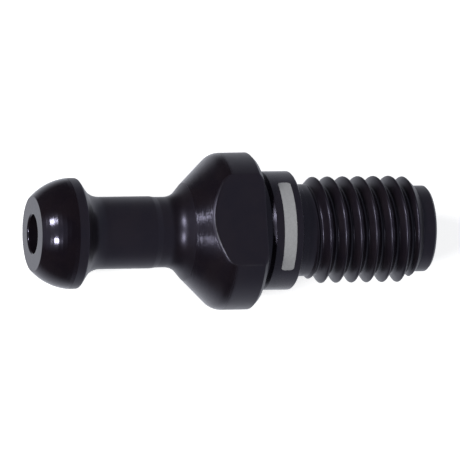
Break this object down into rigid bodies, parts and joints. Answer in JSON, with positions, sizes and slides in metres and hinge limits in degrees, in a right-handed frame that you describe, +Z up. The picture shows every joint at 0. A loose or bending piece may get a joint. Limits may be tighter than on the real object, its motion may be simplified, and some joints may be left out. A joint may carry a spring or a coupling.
{
  "type": "pull stud",
  "caption": "Turned steel pull stud with a domed head and coolant bore, slim neck, cone and flange with two wrench flats, pilot, and threaded end.",
  "frame": {"origin": "on the stud's axis, in the plane of the flange's seat face", "axes": "+X along the stud's axis from the head to the threaded end, +Z up, square to the upper wrench flat, with the stud lying on the lower one"},
  "size_m": [0.0448, 0.0172, 0.0138],
  "materials": {
    "black_steel": "turned hardened steel, black oxide, satin"
  },
  "bodies": {
    "root": {"pull_stud": "black_steel"}
  },
  "joints": []
}
